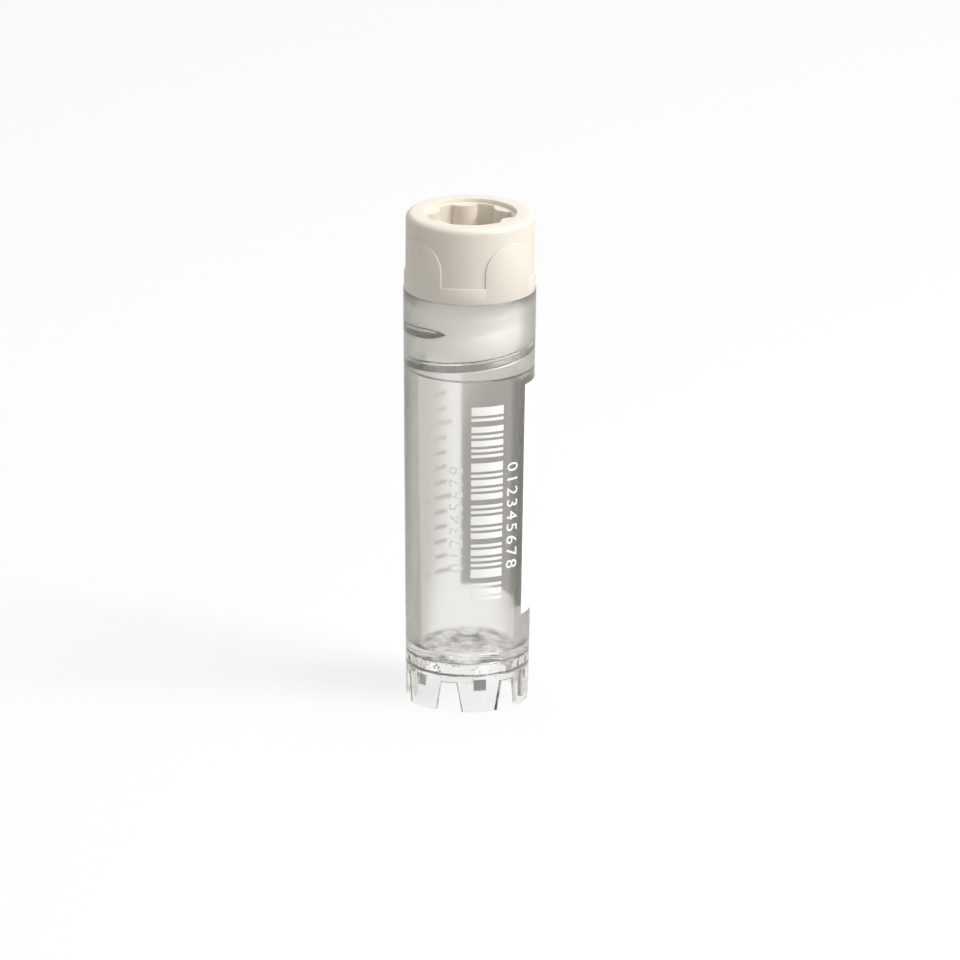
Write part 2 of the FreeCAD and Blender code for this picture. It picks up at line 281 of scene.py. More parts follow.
def start_ring(name, radius, height, fill, turn=0.0):
    """Circle to extrude from, left in edit mode with its rim selected."""
    deselect()
    bpy.ops.mesh.primitive_circle_add(
        vertices=SEGMENTS, radius=radius, fill_type=fill, location=(0, 0, height),
        rotation=(0, 0, math.radians(turn)))
    piece = bpy.context.object
    piece.name = name
    bpy.ops.object.transform_apply(location=True, rotation=True)
    bpy.ops.object.mode_set(mode="EDIT")
    bpy.ops.mesh.select_all(action="DESELECT")
    bpy.ops.mesh.select_mode(type="VERT")
    bpy.ops.mesh.select_non_manifold()
    return piece


def turned(name, profile, turn=0.0):
    """Shell of revolution that starts with a flat disc and ends on the axis, or closes on itself."""
    on_axis = profile[0][0] < 1e-9
    rest = profile[2:] if on_axis else profile[1:]
    radius = profile[1][0] if on_axis else profile[0][0]
    height = profile[0][1]
    piece = start_ring(name, radius, height, "TRIFAN" if on_axis else "NOTHING", turn)
    for point in rest:
        bpy.ops.mesh.extrude_region_move(
            TRANSFORM_OT_translate={"value": (0, 0, point[1] - height)})
        if point[0] < 1e-9:
            bpy.ops.mesh.merge(type="CENTER")
            break
        scale = point[0] / radius
        bpy.ops.transform.resize(value=(scale, scale, 1), center_override=(0, 0, point[1]))
        radius, height = point[0], point[1]
    bpy.ops.mesh.select_all(action="SELECT")
    bpy.ops.mesh.remove_doubles(threshold=1e-7)
    bpy.ops.mesh.normals_make_consistent(inside=False)
    bpy.ops.object.mode_set(mode="OBJECT")
    return piece


def boolean(piece, tool, operation):
    """Join or cut with another closed piece, which is used up."""
    modifier = piece.modifiers.new("boolean", "BOOLEAN")
    modifier.operation = operation
    modifier.object = tool
    modifier.solver = "EXACT"
    make_active(piece)
    bpy.ops.object.modifier_apply(modifier=modifier.name)
    bpy.data.objects.remove(tool)


def bevel(piece, width, segments=2, angle=35.0):
    """Rounds the sharp edges of a piece."""
    modifier = piece.modifiers.new("bevel", "BEVEL")
    modifier.width = width
    modifier.segments = segments
    modifier.limit_method = "ANGLE"
    modifier.angle_limit = math.radians(angle)
    make_active(piece)
    bpy.ops.object.modifier_apply(modifier=modifier.name)


def smooth(piece, angle=30.0):
    make_active(piece)
    bpy.ops.object.shade_smooth_by_angle(angle=math.radians(angle))


def join(name, pieces):
    make_active(pieces[0])
    for piece in pieces:
        piece.select_set(True)
    bpy.ops.object.join()
    joined = bpy.context.object
    joined.name = name
    return joined


def copies_round(piece, count, first_turn):
    """Copies of a piece that faces the front, each turned to its place; the piece is used up."""
    copies = []
    for i in range(count):
        copy = piece.copy()
        copy.data = piece.data.copy()
        bpy.context.collection.objects.link(copy)
        turn = math.radians(first_turn + 360.0 * i / count)
        copy.data.transform(Matrix.Rotation(turn, 4, "Z"))
        copies.append(copy)
    bpy.data.objects.remove(piece)
    return copies


def block(name, low, high):
    """Box between two corners."""
    deselect()
    size = Vector(high) - Vector(low)
    middle = (Vector(high) + Vector(low)) / 2
    bpy.ops.mesh.primitive_cube_add(size=1, location=middle)
    piece = bpy.context.object
    piece.name = name
    piece.scale = size
    bpy.ops.object.transform_apply(location=True, scale=True)
    return piece


def set_radius(vertex, radius):
    """Moves a vertex straight out or in to a distance from the axis."""
    scale = radius / math.hypot(vertex.co.x, vertex.co.y)
    vertex.co.x *= scale
    vertex.co.y *= scale


def angle_of(point):
    """Angle round the axis, from the front towards +X."""
    return math.degrees(math.atan2(point[0], -point[1]))


# ---------------------------------------------------------------- thread

def rib_rise(angle, height):
    """How far the rib stands at a place on the collar bore, from 0 to 1."""
    best = 0.0
    for turn in (-360.0, 0.0, 360.0):
        along = angle + turn
        if along < THREAD_START or along > THREAD_END:
            continue
        to_end = min(THREAD_END - along, along - THREAD_START)
        runout = min(1.0, to_end / THREAD_RUNOUT)
        size = math.sin(math.radians(90) * runout) ** 0.7
        span = RIB_UPPER_FLANK + RIB_CREST + RIB_LOWER_FLANK
        top = RIB_TOP_FRONT + THREAD_LEAD * along / 360.0 - span * (1 - size) * 0.5
        below = (top - height) / max(size, 1e-6)
        if below <= 0 or below >= span:
            continue
        upper = math.sin(math.radians(90) * min(1.0, below / RIB_UPPER_FLANK))
        lower = min(1.0, (span - below) / RIB_LOWER_FLANK)
        best = max(best, min(upper, lower) * size)
    return best


def groove_rise(angle, height):
    """How far the plug's thread stands at a place, from 0 in the groove to 1 on the crest."""
    middle = RIB_MIDDLE_FRONT + THREAD_LEAD * angle / 360.0
    off = (height - middle) / THREAD_LEAD
    off = abs(off - round(off)) * THREAD_LEAD
    rise = min(1.0, max(0.0, off / GROOVE_HALF - GROOVE_LAND))
    return rise * rise * (3 - 2 * rise)


def rows_between(low, high, step):
    """Heights of evenly spaced rows, ends left out."""
    count = max(1, round(abs(high - low) / step))
    return [low + (high - low) * i / count for i in range(1, count)]


# ---------------------------------------------------------------- tube

def tube_profile():
    seat_radius = COLLAR_RADIUS + SEAT_FLARE
    seat_foot = MOUTH_HEIGHT - SEAT_HEIGHT
    profile = rounded([
        (0, RECESS_TOP),
        (RECESS_RADIUS, RECESS_TOP, RECESS_ROUND),
        (RECESS_RADIUS, CROWN_DEPTH, CROWN_ROUND),
        (outside_radius(CROWN_DEPTH) - CROWN_WALL, CROWN_DEPTH, CROWN_ROUND),
        (FOOT_RADIUS - CROWN_WALL, 0),
        (FOOT_RADIUS, 0),
        (outside_radius(BASE_TOP), BASE_TOP),
        (MOUTH_RADIUS, MOUTH_HEIGHT, MOUTH_ROUND),
        (seat_radius, MOUTH_HEIGHT, SMALL_ROUND),
        (COLLAR_RADIUS, seat_foot),
    ])
    profile += [(COLLAR_RADIUS, z) for z in rows_between(seat_foot, SHOULDER_HEIGHT, THREAD_ROW)]
    profile += rounded([
        (COLLAR_RADIUS, SHOULDER_HEIGHT),
        (BORE_TOP_RADIUS, SHOULDER_HEIGHT - SHOULDER_DROP, SMALL_ROUND),
        (BORE_FLOOR_RADIUS, FLOOR_HEIGHT, FLOOR_ROUND),
        (DOME_FOOT_RADIUS, FLOOR_HEIGHT, DOME_ROUND),
        (DOME_TOP_RADIUS, FLOOR_HEIGHT + DOME_HEIGHT, DOME_ROUND),
        (0, FLOOR_HEIGHT + DOME_HEIGHT),
    ], steps=10)
    return profile


def crown_gap_tool():
    """Wedge for one gap between lugs, wider at the feet."""
    half_foot = GAP_WIDTH_FOOT / 2
    half_top = GAP_WIDTH_TOP / 2
    half_below = half_foot + (half_foot - half_top) * OVERCUT / GAP_TOP
    tool = block("gap_tool", (-half_below, -FOOT_RADIUS - OVERCUT, -OVERCUT), (half_below, 0, GAP_TOP))
    bpy.ops.object.mode_set(mode="EDIT")
    bpy.ops.mesh.select_all(action="DESELECT")
    mesh = bmesh.from_edit_mesh(tool.data)
    for vertex in mesh.verts:
        vertex.select = vertex.co.z > 0
    mesh.select_flush(True)
    bmesh.update_edit_mesh(tool.data)
    bpy.ops.transform.resize(value=(half_top / half_below, 1, 1), center_override=(0, 0, 0))
    bpy.ops.object.mode_set(mode="OBJECT")
    return tool


def bevel_crown(tube):
    """Softens the cut edges of the crown and of the underside."""
    mesh = bmesh.new()
    mesh.from_mesh(tube.data)
    layers = mesh.edges.layers.float
    weight = layers.get("bevel_weight_edge") or layers.new("bevel_weight_edge")
    for edge in mesh.edges:
        low = max(vertex.co.z for vertex in edge.verts) < CROWN_DEPTH - 0.05 * MM
        if low and edge.is_manifold and edge.calc_face_angle() > math.radians(40):
            edge[weight] = 1.0
    mesh.to_mesh(tube.data)
    mesh.free()
    modifier = tube.modifiers.new("edges", "BEVEL")
    modifier.width = CROWN_EDGE
    modifier.segments = 3
    modifier.limit_method = "WEIGHT"
    make_active(tube)
    bpy.ops.object.modifier_apply(modifier=modifier.name)


def make_tube():
    tube = turned("vial_tube", tube_profile())
    collar_top = MOUTH_HEIGHT - SEAT_HEIGHT
    for vertex in tube.data.vertices:
        x, y, z = vertex.co
        if abs(math.hypot(x, y) - COLLAR_RADIUS) < 1e-6 and SHOULDER_HEIGHT <= z < collar_top:
            set_radius(vertex, COLLAR_RADIUS - RIB_DEPTH * rib_rise(angle_of(vertex.co), z))
    gaps = copies_round(crown_gap_tool(), LUGS, LUG_TURN + 180.0 / LUGS)
    boolean(tube, join("gaps", gaps), "DIFFERENCE")
    pocket_floor = outside_radius(POCKET_TOP) - CROWN_WALL + POCKET_WEB
    pocket = block(
        "pocket_tool",
        (-POCKET_WIDTH / 2, -FOOT_RADIUS - OVERCUT, POCKET_TOP - POCKET_HEIGHT),
        (POCKET_WIDTH / 2, -pocket_floor, POCKET_TOP))
    boolean(tube, join("pockets", copies_round(pocket, LUGS, LUG_TURN)), "DIFFERENCE")
    bevel_crown(tube)
    smooth(tube, 25.0)
    return tube


# ---------------------------------------------------------------- cap

def socket_radius(angle):
    """Outline of the driver socket: ridges that bulge in, between pockets on one circle."""
    pitch = 360.0 / SOCKET_LOBES
    off = (angle - SOCKET_TURN + pitch / 2) % pitch - pitch / 2
    half = SOCKET_RIDGE_ANGLE / 2
    if abs(off) >= half - 1e-4:
        return SOCKET_RADIUS
    chord = SOCKET_RADIUS * math.sin(math.radians(half))
    rise = SOCKET_RADIUS * math.cos(math.radians(half)) - SOCKET_RIDGE_RADIUS
    arc = (chord ** 2 + rise ** 2) / (2 * rise)
    centre = SOCKET_RIDGE_RADIUS + arc
    turn = math.radians(off)
    return centre * math.cos(turn) - math.sqrt(arc ** 2 - (centre * math.sin(turn)) ** 2)


def cap_profile():
    """From the bottom of the plug, up its wall, round the cap and down to the socket."""
    rim = MOUTH_HEIGHT + SEAM
    profile = rounded([
        (0, PLUG_BOTTOM),
        (NECK_RADIUS, PLUG_BOTTOM, PLUG_EDGE),
        (NECK_RADIUS, PLUG_THREAD_FOOT + SEAM),
    ], steps=8)
    profile += [(NECK_RADIUS, z) for z in rows_between(
        PLUG_THREAD_FOOT + SEAM, PLUG_THREAD_TOP + THREAD_FADE, THREAD_ROW)]
    profile += rounded([
        (NECK_RADIUS, PLUG_THREAD_TOP + THREAD_FADE),
        (NECK_RADIUS, rim),
        (WALL_RADIUS, rim),
        (WALL_RADIUS, CAP_TOP, CAP_ROUND),
        (COUNTERBORE_RADIUS, CAP_TOP, SMALL_ROUND),
        (COUNTERBORE_RADIUS, CAP_TOP - COUNTERBORE_DEPTH),
    ], steps=8)
    return profile


def make_cap():
    """A station without a radius of its own is one of the driver socket."""
    profile = cap_profile()
    cap = start_ring("cap", profile[1][0], profile[0][1], "TRIFAN", CAP_TURN)
    height = profile[0][1]
    socket_top = CAP_TOP - COUNTERBORE_DEPTH
    socket_floor = CAP_TOP - SOCKET_DEPTH
    stations = profile[2:] + [
        (None, socket_top),
        (None, socket_floor),
        (CORE_RADIUS, socket_floor),
        (CORE_RADIUS, PLUG_BOTTOM + PLUG_FLOOR),
    ]
    for radius, next_height in stations:
        bpy.ops.mesh.extrude_region_move(
            TRANSFORM_OT_translate={"value": (0, 0, next_height - height)})
        mesh = bmesh.from_edit_mesh(cap.data)
        for vertex in mesh.verts:
            if vertex.select:
                set_radius(vertex, radius or socket_radius(angle_of(vertex.co)))
        bmesh.update_edit_mesh(cap.data)
        height = next_height
    bpy.ops.mesh.extrude_region_move(TRANSFORM_OT_translate={"value": (0, 0, 0)})
    bpy.ops.mesh.merge(type="CENTER")
    bpy.ops.mesh.select_all(action="SELECT")
    bpy.ops.mesh.normals_make_consistent(inside=False)
    bpy.ops.object.mode_set(mode="OBJECT")
    thread_top = PLUG_THREAD_TOP + THREAD_FADE
    for vertex in cap.data.vertices:
        x, y, z = vertex.co
        if abs(math.hypot(x, y) - NECK_RADIUS) < 2e-6 and z < thread_top - THREAD_ROW:
            top_fade = min(1.0, max(0.0, (PLUG_THREAD_TOP - z) / THREAD_FADE + 1.0))
            foot_fade = min(1.0, max(0.0, (z - PLUG_THREAD_FOOT) / THREAD_FADE))
            crest = groove_rise(angle_of(vertex.co), z) * top_fade * foot_fade
            set_radius(vertex, NECK_RADIUS + (PLUG_CREST_RADIUS - NECK_RADIUS) * crest)
    boolean(cap, grip_sleeve(), "UNION")
    smooth(cap, 25.0)
    return cap


def grip_sleeve():
    """Lower ring and arched panels, as one thin sleeve with softened edges."""
    inner = WALL_RADIUS - SLEEVE_ROOT
    top = MOUTH_HEIGHT + GRIP_HEIGHT
    sleeve = turned("grip_sleeve", [
        (inner, MOUTH_HEIGHT),
        (GRIP_RADIUS, MOUTH_HEIGHT),
        (GRIP_RADIUS, top + OVERCUT),
        (inner, top + OVERCUT),
        (inner, MOUTH_HEIGHT),
    ])
    reach = 2 * GRIP_RADIUS
    keep = block(
        "keep", (-reach, -reach, MOUTH_HEIGHT - OVERCUT), (reach, reach, MOUTH_HEIGHT + RING_HEIGHT))
    half = GRIP_WIDTH / 2
    spring = top - half
    panel = block("panel", (-half, -reach, MOUTH_HEIGHT), (half, 0, spring))
    deselect()
    bpy.ops.mesh.primitive_cylinder_add(
        vertices=96, radius=half, depth=reach, location=(0, -reach / 2, spring),
        rotation=(math.radians(90), 0, 0))
    arch = bpy.context.object
    bpy.ops.object.transform_apply(location=True, rotation=True)
    boolean(panel, arch, "UNION")
    for copy in copies_round(panel, GRIPS, GRIP_TURN):
        boolean(keep, copy, "UNION")
    boolean(sleeve, keep, "INTERSECT")
    bevel(sleeve, GRIP_EDGE, segments=2, angle=40.0)
    return sleeve


def make_ring():
    inner = NECK_RADIUS + RING_CLEARANCE
    bottom = ring_low[2]
    start = MOUTH_HEIGHT - 0.2 * MM
    profile = rounded([
        (inner, start),
        (inner, bottom, RING_FOOT_ROUND),
        (COLLAR_RADIUS - SEAM, bottom, RING_FOOT_ROUND),
        (ring_high[0], MOUTH_HEIGHT, RING_TOP_ROUND),
        (inner, MOUTH_HEIGHT, RING_TOP_ROUND),
        (inner, start),
    ], steps=5)
    ring = turned("seal", profile)
    smooth(ring)
    return ring


# ---------------------------------------------------------------- print

def on_wall(turn, height):
    """Point just inside the outer wall, at an angle in radians and a height."""
    radius = outside_radius(height) - INK_SINK
    return radius * math.sin(turn), -radius * math.cos(turn), height


def ink_field(name, start, end, bottom, top):
    """Film of ink on the wall between two angles and two heights."""
    columns = max(2, round(end - start))
    deselect()
    bpy.ops.mesh.primitive_grid_add(x_subdivisions=columns, y_subdivisions=2, size=1)
    piece = bpy.context.object
    piece.name = name
    for vertex in piece.data.vertices:
        turn = math.radians(start + (end - start) * (vertex.co.x + 0.5))
        vertex.co = on_wall(turn, bottom + (top - bottom) * (vertex.co.y + 0.5))
    return piece


def thicken(piece):
    """Gives a film its thickness, outwards."""
    modifier = piece.modifiers.new("thickness", "SOLIDIFY")
    modifier.thickness = INK_SINK + INK_RISE
    modifier.offset = 1.0
    make_active(piece)
    bpy.ops.object.modifier_apply(modifier=modifier.name)
    bpy.ops.object.mode_set(mode="EDIT")
    bpy.ops.mesh.select_all(action="SELECT")
    bpy.ops.mesh.normals_make_consistent(inside=False)
    bpy.ops.object.mode_set(mode="OBJECT")
    smooth(piece)


def make_patch():
    patch = ink_field("patch", PATCH_START, PATCH_END, PATCH_BOTTOM, PATCH_TOP)
    thicken(patch)
    return patch


def make_bars():
    bars = [BAR_MODULES[i % len(BAR_MODULES)] for i in range(BARCODE_BARS)]
    spaces = [SPACE_MODULES[i % len(SPACE_MODULES)] for i in range(BARCODE_BARS - 1)]
    module = (BARCODE_TOP - BARCODE_BOTTOM) / (sum(bars) + sum(spaces))
    fields = []
    bottom = BARCODE_BOTTOM
    for i, (bar, space) in enumerate(zip(bars, spaces + [0])):
        top = bottom + bar * module
        fields.append(ink_field(f"bar_{i}", BARCODE_START, BARCODE_END, bottom, top))
        bottom = top + space * module
    stack = join("bars", fields)
    thicken(stack)
    return stack


def mark_height(i):
    """Height of the middle of a volume mark, counted from the lowest."""
    return MARK_FIRST_HEIGHT + i * MARK_PITCH


def make_marks():
    fields = []
    for i in range(MARK_COUNT):
        start = MARK_START_LONG if i % MARK_LONG_EVERY == 0 else MARK_START_SHORT
        bottom = mark_height(i) - MARK_THICKNESS / 2
        top = mark_height(i) + MARK_THICKNESS / 2
        fields.append(ink_field(f"mark_{i}", start, MARK_END, bottom, top))
    marks = join("marks", fields)
    thicken(marks)
    return marks


def lettering(name, text, size, angle, height, quarter_turns, spacing=1.0):
    """Printed characters wrapped on the wall, centred at an angle and a height."""
    deselect()
    bpy.ops.object.text_add()
    words = bpy.context.object
    words.data.body = text
    words.data.size = size
    words.data.space_character = spacing
    words.data.align_x = "CENTER"
    words.data.align_y = "CENTER"
    words.data.resolution_u = 4
    bpy.ops.object.convert(target="MESH")
    piece = bpy.context.object
    piece.name = name
    piece.data.transform(Matrix.Rotation(math.radians(90) * quarter_turns, 4, "Z"))
    for cut in range(-WRAP_STRIPS, WRAP_STRIPS + 1):
        bpy.ops.object.mode_set(mode="EDIT")
        bpy.ops.mesh.select_all(action="SELECT")
        bpy.ops.mesh.bisect(plane_co=(cut * WRAP_STEP, 0, 0), plane_no=(1, 0, 0))
        bpy.ops.object.mode_set(mode="OBJECT")
    for vertex in piece.data.vertices:
        at = height + vertex.co.y
        turn = math.radians(angle) + vertex.co.x / (outside_radius(at) - INK_SINK)
        vertex.co = on_wall(turn, at)
    thicken(piece)
    return piece


# ---------------------------------------------------------------- materials

class Field:
    """A shader socket that can be used in sums; each operator adds a Math node."""

    def __init__(self, sheet, socket):
        self.sheet = sheet
        self.socket = socket

    def math(self, operation, first, second):
        return self.sheet.node("Math", {"operation": operation}, {0: first, 1: second})

    def __add__(self, other):
        return self.math("ADD", self, other)

    __radd__ = __add__

    def __sub__(self, other):
        return self.math("SUBTRACT", self, other)

    def __rsub__(self, other):
        return self.math("SUBTRACT", other, self)

    def __mul__(self, other):
        return self.math("MULTIPLY", self, other)

    __rmul__ = __mul__

    def __truediv__(self, other):
        return self.math("DIVIDE", self, other)

    def __rtruediv__(self, other):
        return self.math("DIVIDE", other, self)

    def __gt__(self, other):
        return self.math("GREATER_THAN", self, other)

    def __lt__(self, other):
        return self.math("LESS_THAN", self, other)


class Finish:
    """The nodes of a new material, or of the world."""

    def __init__(self, holder):
        self.holder = holder
        holder.use_nodes = True
        self.tree = holder.node_tree
        self.tree.nodes.clear()

    def node(self, kind, settings=None, sockets=None, output=0):
        """Adds a node, sets it up, then gives its sockets values or links."""
        node = self.tree.nodes.new("ShaderNode" + kind)
        for key, value in (settings or {}).items():
            setattr(node, key, value)
        for key, value in (sockets or {}).items():
            if isinstance(value, Field):
                self.tree.links.new(value.socket, node.inputs[key])
            else:
                node.inputs[key].default_value = value
        return Field(self, node.outputs[output]) if node.outputs else None

    def place(self):
        """Object coordinates."""
        return self.node("TexCoord", output=3)

    def split(self, vector):
        """The three parts of a vector."""
        parts = self.node("SeparateXYZ", {}, {0: vector})
        return [Field(self, output) for output in parts.socket.node.outputs]

    def length(self, first, second):
        return self.node("Math", {"operation": "SQRT"}, {0: first * first + second * second})

    def noise(self, scale, detail=3.0, roughness=0.5, stretch=(1, 1, 1)):
        where = self.node("Mapping", {}, {"Vector": self.place(), "Scale": stretch})
        return self.node("TexNoise", {}, {
            "Vector": where, "Scale": scale, "Detail": detail, "Roughness": roughness})

    def mix(self, factor, first, second):
        """Blend of two colours; those are the Mix node's sockets for colours."""
        return self.node("Mix", {"data_type": "RGBA"}, {0: factor, 6: first, 7: second}, output=2)

    def step(self, value, low, high, at_low=0.0, at_high=1.0):
        """Eases from one number to another while a value goes from low to high."""
        return self.node("MapRange", {"interpolation_type": "SMOOTHSTEP"}, {
            "Value": value, "From Min": low, "From Max": high, "To Min": at_low, "To Max": at_high})

    def blend(self, factor, first, second):
        """Mix of two shaders."""
        return self.node("MixShader", {}, {0: factor, 1: first, 2: second})

    def ray(self, kind):
        """1 where the light path's ray is of a kind, else 0."""
        path = self.node("LightPath")
        return Field(self, path.socket.node.outputs[f"Is {kind} Ray"])

    def bump(self, height, distance, strength=1.0):
        return self.node("Bump", {}, {"Height": height, "Distance": distance, "Strength": strength})

    def finish(self, shader, output="OutputMaterial"):
        self.node(output, {}, {"Surface": shader})
        return self.holder


def clear_plastic():
    """Clear polypropylene: glossy outside, satin in the bore, uneven under the floor; painted shade
    darkens the crown, the pockets' floors and the thread rib's lower flank.
    """
    sheet = Finish(bpy.data.materials.new("clear_plastic"))
    waves = sheet.noise(180.0, detail=2.0, stretch=(1, 1, 0.15))
    grain = sheet.noise(2600.0, detail=2.0)
    # The upward part of the normal, the same from inside the wall as from outside
    inside_out = sheet.node("NewGeometry", output=6)
    slope = sheet.split(sheet.node("TexCoord", output=1))[2] * (1 - 2 * inside_out)
    lumps = sheet.noise(900.0, detail=2.0)
    across, along, height = sheet.split(sheet.place())
    reach = sheet.length(across, along)
    # Masks: the floor with all under it, the bore, the pockets' floors, and two places in the collar
    under = (reach < RECESS_RADIUS + EDGE) * (height < FLOOR_HEIGHT + DOME_HEIGHT + 2 * EDGE)
    bore = (reach > BORE_FLOOR_RADIUS - 4 * EDGE) * (reach < MID_WALL_RADIUS) * (height > BORE_FOOT)
    pocket_floor = outside_radius(POCKET_TOP) - CROWN_WALL + POCKET_WEB
    pocket = (reach > pocket_floor - EDGE) * (reach < pocket_floor + POCKET_EDGE) * (
        height > POCKET_TOP - POCKET_HEIGHT - SEAM) * (height < POCKET_TOP + SEAM)
    rib = bore * (reach < COLLAR_RADIUS - RIB_EDGE) * (height > SHOULDER_HEIGHT + 2 * EDGE)
    # the rib's lower flank, which gets painted shade in its colour
    flank = rib * (slope < FLANK_SLOPE)
    collar = bore * (reach > COLLAR_RADIUS - EDGE) * (height > SHOULDER_HEIGHT)
    # body tint, with painted shade: a darker tint below the top of the crown
    tint_and_crown_shade = sheet.mix(height < CROWN_DEPTH, BODY_TINT, CROWN_PAINTED_SHADE)
    glass = sheet.node("BsdfPrincipled", {}, {
        "Base Color": sheet.mix(flank, tint_and_crown_shade, RIB_FLANK_PAINTED_SHADE),
        "Roughness": grain * 0.02 + 0.04 + bore * BORE_SATIN + under * 0.03,
        "IOR": PLASTIC_IOR,
        "Transmission Weight": 1.0,
        "Normal": sheet.bump(waves + grain * 0.05 + under * lumps * FLOOR_LUMPS, 0.004 * MM),
    })
    haze = sheet.node("BsdfTranslucent", {}, {"Color": HAZE_TONE})
    body = sheet.blend(bore * BORE_HAZE + CLEAR_HAZE, glass, haze)
    # the pockets' floors are veiled in a dark translucent grey, a painted shade
    pit = sheet.node("BsdfTranslucent", {}, {"Color": POCKET_PAINTED_SHADE})
    body = sheet.blend(pocket * POCKET_HAZE_AND_SHADE, body, pit)
    leak = sheet.node("BsdfRefraction", {}, {
        "Color": LEAK_TINT, "Roughness": BORE_SATIN, "IOR": PLASTIC_IOR})
    body = sheet.blend(bore * BORE_LEAK, body, leak)
    sheen = sheet.node("BsdfAnisotropic", {}, {"Color": SHEEN_TINT, "Roughness": 0.4})
    body = sheet.blend(collar * GAP_SHEEN, body, sheen)
    clear = sheet.node("BsdfTransparent", {}, {"Color": SHADOW_TINT})
    return sheet.finish(sheet.blend(sheet.ray("Shadow") + sheet.ray("Diffuse"), body, clear))


def ivory_plastic():
    """Opaque satin ivory with faint flow marks; the plug is of the uncoloured plastic, with a painted
    glow.
    """
    sheet = Finish(bpy.data.materials.new("ivory_plastic"))
    flow = sheet.noise(160.0, detail=2.0, stretch=(1, 1, 0.3))
    grain = sheet.noise(5200.0, detail=2.0)
    satin = {
        "Roughness": grain * 0.08 + 0.42,
        "IOR": PLASTIC_IOR,
        "Specular IOR Level": 0.4,
        "Normal": sheet.bump(grain, 0.0015 * MM),
    }
    ivory = sheet.node("BsdfPrincipled", {}, {
        "Base Color": sheet.mix(flow, (0.798, 0.738, 0.645, 1), (0.832, 0.778, 0.69, 1)),
        "Coat Weight": 0.5,
        "Coat Roughness": 0.3,
        "Subsurface Weight": 0.12,
        "Subsurface Radius": (0.9, 0.7, 0.5),
        "Subsurface Scale": 1.2 * MM,
    } | satin)
    natural = sheet.node("BsdfPrincipled", {}, {
        "Base Color": sheet.mix(flow, (0.73, 0.715, 0.67, 1), (0.76, 0.745, 0.70, 1)),
        # painted glow on the plug
        "Emission Color": (1.0, 0.97, 0.90, 1),
        "Emission Strength": NATURAL_PAINTED_GLOW,
        "Subsurface Weight": 1.0,
        "Subsurface Radius": (1.0, 0.95, 0.85),
        "Subsurface Scale": NATURAL_DEPTH,
    } | satin)
    height = sheet.split(sheet.place())[2]
    return sheet.finish(sheet.blend(height < MOUTH_HEIGHT, ivory, natural))


def pale_rubber():
    sheet = Finish(bpy.data.materials.new("pale_rubber"))
    grain = sheet.noise(3000.0, detail=2.0)
    colour = sheet.mix(grain, (0.84, 0.83, 0.80, 1), (0.88, 0.87, 0.84, 1))
    return sheet.finish(sheet.node("BsdfPrincipled", {}, {
        "Base Color": colour,
        "Roughness": grain * 0.1 + 0.55,
        "Normal": sheet.bump(grain, 0.003 * MM),
    }))


def white_ink():
    """Screen-printed white, matt, with a faint mottle; its outer face has a painted glow for light that
    comes through it, and its back has painted shade beyond INK_SHADE_FROM.
    """
    sheet = Finish(bpy.data.materials.new("white_ink"))
    mottle = sheet.noise(1500.0, detail=3.0)
    across, along, height = sheet.split(sheet.place())
    wall = height * ((MOUTH_RADIUS - FOOT_RADIUS) / MOUTH_HEIGHT) + FOOT_RADIUS
    outer = sheet.length(across, along) - wall > INK_RISE / 2
    face = sheet.mix(mottle, (0.89, 0.89, 0.87, 1), (0.95, 0.95, 0.935, 1))
    # painted shade: the back of the ink turns dark grey beyond INK_SHADE_FROM across
    back = sheet.mix(across > INK_SHADE_FROM, (0.88, 0.86, 0.82, 1), (0.51, 0.50, 0.47, 1))
    return sheet.finish(sheet.node("BsdfPrincipled", {}, {
        "Base Color": sheet.mix(outer, back, face),
        "Roughness": mottle * 0.1 + 0.5,
        # painted glow on the outer face only
        "Emission Color": sheet.mix(outer, BLACK, (1.0, 1.0, 0.98, 1)),
        "Emission Strength": INK_PAINTED_GLOW,
        "Normal": sheet.bump(mottle, 0.002 * MM),
    }))


def surroundings(sheet, across, along, rise=None):
    """What gloss and clear plastic show: a white card behind the vial, in a room darker on its left."""
    reach = sheet.length(across, along)
    side = across / reach
    behind = along / reach
    card = sheet.step(behind, *CARD_EDGE)
    room = sheet.mix(sheet.step(side, *ROOM_SIDES), ROOM_LEFT, ROOM_RIGHT)
    ahead = sheet.step(behind, *ROOM_FRONT)
    tone = sheet.mix(card, sheet.mix(ahead, room, ROOM_AHEAD), WHITE)
    if rise is None:
        return tone
    return sheet.mix(sheet.step(rise, *ROOM_CEILING), tone, ROOM_ABOVE)


def floor_paint():
    """Pale floor that shows white round the object and keeps a soft shadow."""
    sheet = Finish(bpy.data.materials.new("floor_paint"))
    across, along, _ = sheet.split(sheet.place())
    near = sheet.step(across * across, 0.0, WHITE_HALF_WIDTH ** 2, 1.0, 0.0) * (along > WHITE_START)
    straight = sheet.ray("Camera")
    seen = straight + sheet.ray("Glossy") + sheet.ray("Transmission")
    white = straight + near * (1 - straight)
    tone = sheet.mix(white, surroundings(sheet, across, along), WHITE)
    glow = sheet.node("Emission", {}, {"Color": tone, "Strength": FLOOR_GLOW})
    shown = sheet.node("BsdfDiffuse", {}, {"Color": sheet.mix(FLOOR_SHOWN, BLACK, tone)})
    lit = sheet.node("AddShader", {}, {0: shown, 1: glow})
    bounce = sheet.node("BsdfDiffuse", {}, {"Color": FLOOR_BOUNCE})
    return sheet.finish(sheet.blend(seen, bounce, lit))


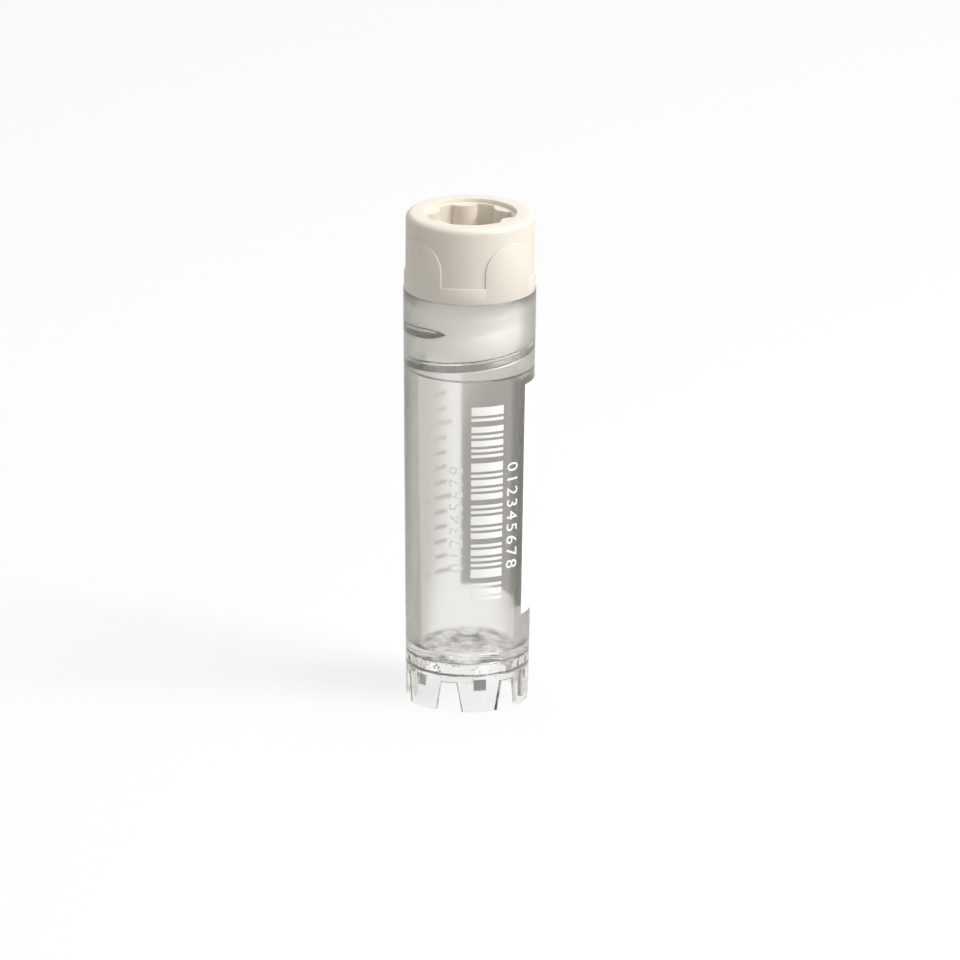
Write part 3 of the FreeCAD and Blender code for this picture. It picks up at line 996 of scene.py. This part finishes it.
def studio_world():
    """Even light all round; gloss and clear plastic see the room instead."""
    sheet = Finish(bpy.data.worlds.new("studio"))
    across, along, rise = sheet.split(sheet.node("TexCoord", output=0))
    room = sheet.node("Background", {}, {"Color": surroundings(sheet, across, along, rise)})
    white = sheet.node("Background", {}, {"Color": WHITE})
    even = sheet.node("Background", {}, {"Color": WHITE, "Strength": WORLD_STRENGTH})
    shown = sheet.blend(sheet.ray("Glossy") + sheet.ray("Transmission"), even, room)
    return sheet.finish(sheet.blend(sheet.ray("Camera"), shown, white), "OutputWorld")


def softbox(name, place, aim, size, power, colour=(1, 1, 1)):
    light = bpy.data.lights.new(name, "AREA")
    light.shape = "RECTANGLE"
    light.size = size[0]
    light.size_y = size[1]
    light.energy = power
    light.color = colour
    holder = bpy.data.objects.new(name, light)
    holder.location = place
    holder.rotation_euler = (Vector(aim) - Vector(place)).to_track_quat("-Z", "Y").to_euler()
    bpy.context.collection.objects.link(holder)


def lamp_power(level, distance):
    """Power that lights a white card to a level, from a distance."""
    return level * (math.pi * distance) ** 2


def dress(piece, material, body, slot, *replaced):
    piece.data.materials.clear()
    piece.data.materials.append(material)
    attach(piece, body)
    if replaced:
        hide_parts(*replaced)


# ---------------------------------------------------------------- the vial

PLASTIC = clear_plastic()
IVORY = ivory_plastic()
RUBBER = pale_rubber()
INK = white_ink()

dress(make_tube(), PLASTIC, "vial", "clear_plastic", "tube")
dress(make_cap(), IVORY, "cap", "cap_plastic", "screw_cap")
dress(make_ring(), RUBBER, "seal", "seal_rubber", "sealing_ring")
dress(make_patch(), INK, "vial", "white_ink", "writing_patch")
dress(make_bars(), INK, "vial", "white_ink", "barcode_bars")
dress(make_marks(), INK, "vial", "white_ink", "graduation_marks")

for name, turn, quarters in DIGIT_ROWS:
    digits = lettering(name, DIGITS, DIGIT_SIZE, turn, DIGITS_MIDDLE, quarters, DIGIT_SPACING)
    dress(digits, INK, "vial", "white_ink")
for i, volume in VOLUMES:
    number = lettering(f"volume_{i}", volume, VOLUME_SIZE, VOLUMES_TURN, mark_height(i), 0)
    dress(number, INK, "vial", "white_ink")

# ---------------------------------------------------------------- floor, light and camera

deselect()
bpy.ops.mesh.primitive_plane_add(size=6.0)
floor = bpy.context.object
floor.name = "floor"
floor.data.materials.append(floor_paint())

key_turn, key_rise = math.radians(KEY_AZIMUTH), math.radians(KEY_ELEVATION)
key_place = (
    KEY_DISTANCE * math.sin(key_turn) * math.cos(key_rise),
    -KEY_DISTANCE * math.cos(key_turn) * math.cos(key_rise),
    KEY_DISTANCE * math.sin(key_rise),
)
softbox("key", key_place, MIDDLE, KEY_SIZE, lamp_power(KEY_LEVEL, KEY_DISTANCE), KEY_COLOUR)
softbox("top", TOP_PLACE, MIDDLE, TOP_SIZE, lamp_power(TOP_LEVEL, TOP_PLACE[2]))
bpy.context.scene.world = studio_world()

lens = bpy.data.cameras.new("camera")
lens.sensor_width = 36.0
lens.lens = lens.sensor_width * VIEW_DISTANCE / FRAME_WIDTH
lens.clip_start = 0.05
lens.clip_end = 20.0
camera = bpy.data.objects.new("camera", lens)
elevation = math.radians(VIEW_ELEVATION)
camera.location = AIM + VIEW_DISTANCE * Vector((0, -math.cos(elevation), math.sin(elevation)))
upright = (AIM - camera.location).to_track_quat("-Z", "Y").to_matrix().to_4x4()
camera.rotation_euler = (upright @ Matrix.Rotation(math.radians(VIEW_ROLL), 4, "Z")).to_euler()
bpy.context.collection.objects.link(camera)
bpy.context.scene.camera = camera
bpy.context.scene.view_settings.view_transform = "Standard"
